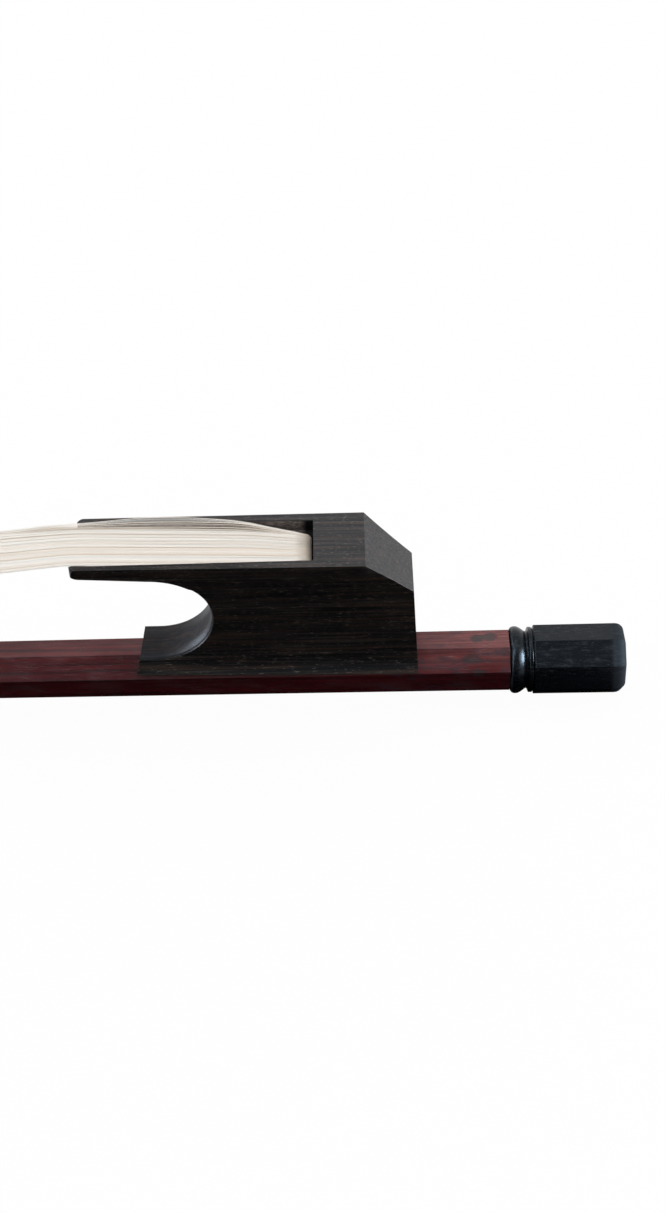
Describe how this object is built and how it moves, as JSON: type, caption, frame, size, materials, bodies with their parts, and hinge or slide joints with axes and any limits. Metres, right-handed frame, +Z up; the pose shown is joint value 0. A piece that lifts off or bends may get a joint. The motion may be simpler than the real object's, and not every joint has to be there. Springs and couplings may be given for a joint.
{
  "type": "cello bow",
  "caption": "Octagonal cambered cello bow with a carved head, a sliding open ebony frog, an ebony button on a steel screw, and a ribbon of horsehair.",
  "frame": {"origin": "the middle of the footprint of the bow, lying hair side up on a flat surface, on that surface", "axes": "+X along the bow towards the button, so the head is at -X; +Z up, towards the hair; +Y across the bow"},
  "size_m": [0.715, 0.013, 0.0373],
  "materials": {
    "stick_wood": "dark red-brown varnish, worn and mottled",
    "ebony": "oiled black wood, satin",
    "steel": "turned steel",
    "brass": "dull brass",
    "horsehair": "combed pale horsehair",
    "plug_wood": "bare cut softwood",
    "thread": "waxed thread"
  },
  "bodies": {
    "stick": {"stick": "stick_wood", "hair_ribbon": "horsehair", "head_mortise_plug": "plug_wood", "head_hair_knot": "horsehair", "head_knot_binding": "thread"},
    "frog": {"frog": "ebony", "eyelet": "brass", "frog_mortise_plug": "plug_wood", "frog_hair_knot": "horsehair", "frog_knot_binding": "thread"},
    "adjuster": {"button": "ebony", "screw": "steel"}
  },
  "joints": [
    {"name": "screw_turn", "type": "hinge", "parent": "stick", "child": "adjuster", "pos_m": [0.33797, 0, 0.00654], "axis": [-0.9992, 0, 0.0404], "range_deg": [-1081, 3601]},
    {"name": "frog_slide", "type": "slide", "parent": "stick", "child": "frog", "axis": [0.9992, 0, -0.0404], "range_m": [-0.0018, 0.006], "deforming": ["hair_ribbon"]}
  ],
  "couplings": [
    {"joint": "screw_turn", "follows": "frog_slide", "rad_per_m": 10472}
  ]
}
